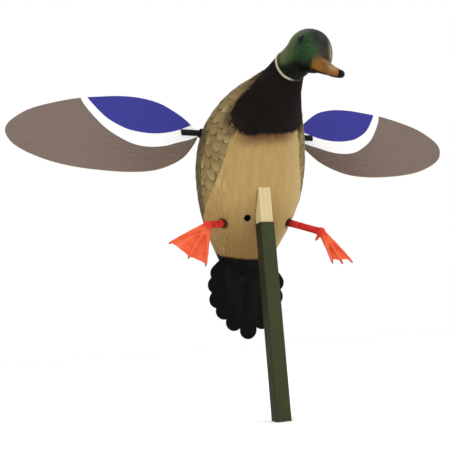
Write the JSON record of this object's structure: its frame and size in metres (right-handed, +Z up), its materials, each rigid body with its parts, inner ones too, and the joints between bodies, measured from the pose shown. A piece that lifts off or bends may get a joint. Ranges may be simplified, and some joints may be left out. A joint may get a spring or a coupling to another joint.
{
  "type": "motion wing decoy",
  "caption": "Landing-posture mallard decoy on a square stake, with flat wings that spin about a powered cross shaft, swivelling feet, a scalloped tail fan and a hinged back hatch.",
  "frame": {"origin": "centre of the square stake's lower end", "axes": "+Z up the stake, +X to the bird's left along the wing shaft, the bird faces -Y"},
  "size_m": [0.832, 0.3593, 0.6034],
  "materials": {
    "stake_green": "satin olive green paint",
    "peg_wood": "bare pale wood",
    "screw_steel": "zinc plated",
    "body_paint": "matt paint: tan belly, black-brown breast, olive back",
    "head_paint": "satin dark green paint",
    "bill_paint": "satin ochre paint with a black nail",
    "eye_gloss": "gloss black",
    "ring_paint": "matt off-white",
    "tail_paint": "matt black",
    "leg_red": "satin red",
    "foot_orange": "matt orange",
    "black_rubber": "matt black",
    "black_plastic": "satin black",
    "frame_steel": "bent sheet steel",
    "bushing_bronze": "sintered bronze",
    "motor_steel": "plated can",
    "rotor_copper": "laminations and windings",
    "shaft_steel": "ground rod",
    "wing_print": "printed face: blue patch, white bands, grey-brown",
    "battery_case": "dark grey case",
    "terminal_brass": "tinned brass tabs"
  },
  "bodies": {
    "stake": {"stake_tube": "stake_green", "stake_peg": "peg_wood", "peg_screws": "screw_steel"},
    "decoy": {"body_shell": "body_paint", "peg_socket": "black_plastic", "socket_screws": "screw_steel", "hatch_hinge_pin": "screw_steel", "head": "head_paint", "bill": "bill_paint", "eyes": "eye_gloss", "neck_ring": "ring_paint", "tail_fan": "tail_paint", "tail_screw": "black_plastic", "leg_bushing_left": "black_rubber", "leg_bushing_right": "black_rubber", "motor_frame": "frame_steel", "frame_screws": "screw_steel", "shaft_bushing_left": "bushing_bronze", "shaft_bushing_right": "bushing_bronze", "motor_can": "motor_steel", "motor_end_left": "black_plastic", "motor_end_right": "black_plastic", "motor_clamp": "frame_steel", "clamp_screws": "screw_steel", "grommet_left": "black_rubber", "grommet_right": "black_rubber", "battery": "battery_case", "battery_terminals": "terminal_brass", "battery_tray": "black_plastic", "battery_strap": "black_rubber", "switch_body": "black_plastic", "switch_nut": "screw_steel", "charge_jack": "black_plastic"},
    "hatch": {"back_hatch": "body_paint"},
    "wings": {"motor_rotor": "rotor_copper", "wing_shaft": "shaft_steel", "shaft_collars": "shaft_steel", "hub_left": "black_plastic", "hub_right": "black_plastic", "wing_left": "wing_print", "wing_right": "wing_print", "wing_screws_left": "screw_steel", "wing_screws_right": "screw_steel"},
    "left_leg": {"leg_left": "leg_red", "foot_left": "foot_orange"},
    "right_leg": {"leg_right": "leg_red", "foot_right": "foot_orange"},
    "toggle": {"switch_toggle": "screw_steel"}
  },
  "joints": [
    {"name": "lift_off", "type": "slide", "parent": "stake", "child": "decoy", "axis": [0, 0, 1], "range_m": [0, 0.09]},
    {"name": "wing_spin", "type": "hinge", "parent": "decoy", "child": "wings", "pos_m": [0, 0.0386, 0.494], "axis": [1, 0, 0], "continuous": true},
    {"name": "hatch_swing", "type": "hinge", "parent": "decoy", "child": "hatch", "pos_m": [0, 0.1332, 0.35454], "axis": [-1, 0, 0], "range_deg": [0, 95]},
    {"name": "left_leg_swivel", "type": "hinge", "parent": "decoy", "child": "left_leg", "pos_m": [0.066, 0.034, 0.331], "axis": [0.6501, -0.6501, -0.3935], "range_deg": [-25, 25]},
    {"name": "right_leg_swivel", "type": "hinge", "parent": "decoy", "child": "right_leg", "pos_m": [-0.066, 0.034, 0.331], "axis": [-0.6952, -0.6952, -0.1829], "range_deg": [-25, 25]},
    {"name": "toggle_flip", "type": "hinge", "parent": "decoy", "child": "toggle", "pos_m": [0, 0.08005, 0.52546], "axis": [1, 0, 0], "range_deg": [0, 24]}
  ]
}
